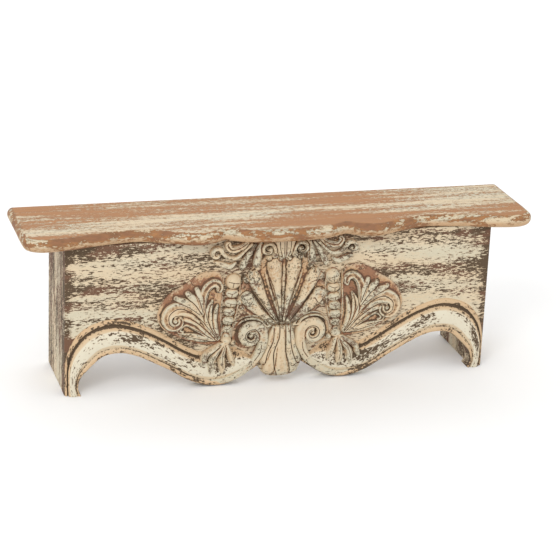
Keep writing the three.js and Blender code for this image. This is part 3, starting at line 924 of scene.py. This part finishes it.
def moulding_paint(name, seed):
    """The same paint, rubbed along the moulding's own run."""
    m = Finish(name)
    shift = (seed, seed * 2, seed * 3)
    over = m.attribute("over")
    along = m.attribute("along")
    lay = m.node("ShaderNodeCombineXYZ", {}, {"X": along * 0.6, "Y": over * 0.048, "Z": seed})

    def drag(long, short, detail=3.0, rough=0.6):
        where = m.node("ShaderNodeMapping", {}, {"Vector": lay, "Scale": (long, short, 1)})
        return m.node("ShaderNodeTexNoise", {}, {"Vector": where, "Scale": 1.0, "Detail": detail,
                                                 "Roughness": rough})

    ragged = m.noise((380, 380, 380), detail=4.0, rough=0.75, shift=shift)
    slow = drag(9, 40, 1.0)
    fleck = drag(130, 420)
    worn = (fleck - 0.5) * 2.0 + (drag(22, 110) - 0.5) * 1.5 + (slow - 0.5) * 1.1 + (ragged - 0.5) * 0.8
    on_arch = 1 - along.step(0.66, 0.72)
    groove = over.step(0.115, 0.16) * (1 - over.step(0.20, 0.26)) * on_arch
    line = over.step(0.785, 0.815) * (1 - over.step(0.835, 0.87))
    rim = over.step(0.955, 1.0)
    groove = (groove + line * 0.6 + rim * 0.8 + (ragged - 0.5) * 1.6 + (slow - 0.5) * 0.9).step(0.40, 0.62)
    gone = worn.step(0.13, 0.22)
    # middle is the band's crown: its pale paint, lightened further as a painted highlight.
    middle = over.step(0.27, 0.40) * (1 - over.step(0.66, 0.80))
    paint = m.mix((middle * 1.2 + slow - 0.4).step(0.3, 0.8), CREAM, PALE_PAINT_AND_HIGHLIGHT)
    # lip lays sand on the beads and on the band's flanks: their tan paint, with painted shade where the band
    # falls away from its crown.
    lip = over.step(0.80, 0.9).at_least(1 - over.step(0.08, 0.22)).at_least((1 - over.step(0.24, 0.36)) * 0.8)
    paint = m.mix(lip * (0.35 + slow * 0.7), paint, SAND)
    paint = m.mix(worn.step(-0.1, 0.25) * 0.4, paint, SAND)
    dark = groove.at_least(gone)
    height = (1 - dark) * 0.6 + ragged * 0.5
    m.use(Base_Color=m.mix(dark, paint, DARK_BROWN), Roughness=0.6 + dark * 0.2,
          Normal=m.bump(height, 0.0003))
    return m.material


RUBBED = {"shell": 0.05, "tongue": -0.02, "volute": -0.07, "crest": 0.02, "lobe": 0.0, "bead": -0.05,
          "leaf": -0.04}
for i, piece in enumerate(carvings):
    rub = next(share for word, share in RUBBED.items() if word in piece.name)
    piece.data.materials.append(carving_paint(f"{piece.name}_paint", 1.7 * i, rub))
for i, piece in enumerate(mouldings):
    piece.data.materials.append(moulding_paint(f"{piece.name}_paint", 2.3 + i))

# %% [markdown]
# ## The top board's finish
#
# The top has been used and rubbed most. Broad bands of orange-brown wood run through what is left of the
# cream paint. Where the edge turns down, the wood is browner, and ragged chips of cream cling to its
# lower half.


# %% Top finish
def top_finish():
    m = Finish("top_finish")
    chips = m.noise((70, 150, 240), detail=4.0, rough=0.7)
    rim = (m.attribute("rim") + (chips - 0.5) * 0.9).step(0.30, 0.60)
    lower = 1 - m.part(2).step(top_lo.z + 0.006, top_lo.z + 0.012)
    slow = m.noise((3, 34, 34), detail=2.0, bend=0.2, shift=(4.4, 0, 0))
    streak = m.noise((6, 110, 110), detail=3.0, rough=0.6, bend=0.3)
    fleck = m.noise((170, 420, 420), detail=4.0, rough=0.8)
    grain = m.noise((9, 500, 500), detail=3.0, rough=0.6)
    worn = (slow - 0.5) * 2.2 + (streak - 0.5) * 1.3 + (fleck - 0.5) * 2.4
    flat_bare = worn.step(-0.22, 0.02)
    ragged = m.noise((190, 260, 420), detail=3.0, rough=0.75)
    blotch = m.noise((24, 40, 80), detail=2.0, shift=(2.0, 0, 0))
    held = (chips - 0.5) * 1.3 + (ragged - 0.5) * 1.5 + lower * 0.20 + (blotch - 0.5) * 2.0
    edge_bare = 1 - held.step(0.09, 0.16)
    bare = m.blend(rim, flat_bare, edge_bare)
    wood = m.mix(grain.step(0.3, 0.7), BARE_WOOD, tint(154, 106, 64))
    wood = m.mix(rim * (1 - blotch.step(0.36, 0.50)) * 0.8, wood, TERRACOTTA)
    wood = m.mix(rim * (chips * 2.4 - 0.8), wood, tint(118, 84, 54))
    # A dark umber line along the top edge, where the nose begins, is painted shade standing in for the
    # ridge's shadow.
    arris_painted_shade = m.attribute("rim").step(0.12, 0.26) * (1 - m.attribute("rim").step(0.30, 0.46))
    wood = m.mix(arris_painted_shade * 0.7, wood, PAINTED_SHADE_UMBER)
    paint = m.mix(streak.step(0.4, 0.6), CREAM, PALE_GREEN)
    specks = ((fleck - 0.5) * 1.6 + (streak - 0.5) * 0.6).step(0.06, 0.14) * 0.65
    paint = m.mix(specks, paint, tint(142, 118, 84))
    paint = m.mix(rim * lower * 0.6, paint, TAN)
    height = (1 - bare) * 0.7 + grain * 0.4 + fleck * 0.3
    m.use(Base_Color=m.mix(bare, paint, wood), Roughness=0.55 + fleck * 0.2, Normal=m.bump(height, 0.0005))
    return m.material


top_piece.data.materials.append(top_finish())

# %% [markdown]
# ## Hidden wood and steel
#
# The rail, the cleat, the corner blocks and the dowels were never painted. They are sawn wood with a thin
# brown wash. The plates and screws are zinc-plated steel, dulled a little.


# %% Bare wood and zinc
def bare_wood(grain):
    m = Finish(f"bare_wood_{grain.lower()}")

    def lay(long, short, **more):
        scale = {"X": (long, short, short), "Y": (short, long, short), "Z": (short, short, long)}[grain]
        return m.noise(scale, **more)

    grain_line = lay(8, 420, detail=3.0, rough=0.65, bend=0.3)
    wash = lay(12, 60, detail=3.0)
    colour = m.mix(grain_line.step(0.35, 0.68), tint(176, 136, 96), tint(140, 98, 64))
    colour = m.mix(wash.step(0.5, 0.72) * 0.7, colour, tint(104, 72, 48))
    m.use(Base_Color=colour, Roughness=0.78, Normal=m.bump(grain_line, 0.0003))
    return m.material


def zinc():
    m = Finish("zinc_plate")
    haze = m.noise((300, 300, 300), detail=3.0)
    steel = m.mix(haze.step(0.4, 0.7), tint(190, 190, 186), tint(160, 160, 155))
    m.use(Metallic=1.0, Roughness=0.28 + haze * 0.25, Base_Color=steel,
          Normal=m.bump(m.noise((900, 900, 900)), 0.00005))
    return m.material


STEEL = zinc()
WOODS = {"rail_dowel": bare_wood("X"), "hanging_rail": None, "front_cleat": None,
         "corner_block": bare_wood("Z")}
WOODS["hanging_rail"] = WOODS["front_cleat"] = WOODS["rail_dowel"]


def cad_nodes():
    return [o for o in bpy.data.objects if o.type == "MESH" and o.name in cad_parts]


for node in cad_nodes():
    look = STEEL if "screw" in node.name or "keyhole" in node.name else None
    for word, material in WOODS.items():
        if word in node.name:
            look = material
    if look is not None:
        node.data.materials.clear()
        node.data.materials.append(look)
        print(node.name, "gets", look.name)

# %% [markdown]
# ## The studio
#
# A pale floor, a broad soft key light from the upper left, a weaker fill and a bright plain surround. The
# camera looks from the left and a little above, so the top, the front and one end show.

# %% Floor, lights and camera
floor_mesh = bpy.data.meshes.new("floor")
bm = bmesh.new()
bmesh.ops.create_grid(bm, x_segments=1, y_segments=1, size=6,
                      matrix=Matrix.Translation((0, 0, FOOT - 0.0002)))
bm.to_mesh(floor_mesh)
bm.free()
floor = bpy.data.objects.new("floor", floor_mesh)
bpy.context.collection.objects.link(floor)
studio = Finish("studio_floor")
studio.use(Base_Color=(0.94, 0.94, 0.935, 1), Roughness=0.9)
floor_mesh.materials.append(studio.material)

world = bpy.data.worlds.new("studio")
world.use_nodes = True
world.node_tree.nodes["Background"].inputs["Color"].default_value = (1, 1, 1, 1)
world.node_tree.nodes["Background"].inputs["Strength"].default_value = 0.92
bpy.context.scene.world = world
bpy.context.scene.view_settings.view_transform = "Standard"


def lamp(name, place, aim, size, power):
    data = bpy.data.lights.new(name, "AREA")
    data.size = size
    data.energy = power
    light = bpy.data.objects.new(name, data)
    light.location = place
    light.rotation_euler = (Vector(aim) - Vector(place)).to_track_quat("-Z", "Y").to_euler()
    bpy.context.collection.objects.link(light)


lamp("key", (-1.3, -1.9, 1.7), (0, 0, 0), 1.0, 23)
lamp("fill", (1.8, -1.8, 0.7), (0, 0, 0), 1.4, 3)
lamp("back", (0.3, 2.4, 2.0), (0, 1.8, 0), 2.5, 20)


def camera(azimuth, elevation, roll, reach, lens, aim):
    a, e = math.radians(azimuth), math.radians(elevation)
    back = Vector((math.sin(a) * math.cos(e), -math.cos(a) * math.cos(e), math.sin(e)))
    data = bpy.data.cameras.new("camera")
    data.lens = lens
    data.sensor_width = 36
    eye = bpy.data.objects.new("camera", data)
    eye.location = Vector(aim) + back * reach
    level = (-back).to_track_quat("-Z", "Y").to_matrix()
    eye.rotation_euler = (level @ Matrix.Rotation(math.radians(roll), 3, "Z")).to_euler()
    bpy.context.collection.objects.link(eye)
    bpy.context.scene.camera = eye


camera(-17, 20, 2.5, 2.8, 130, (0.012, -0.07, -0.053))
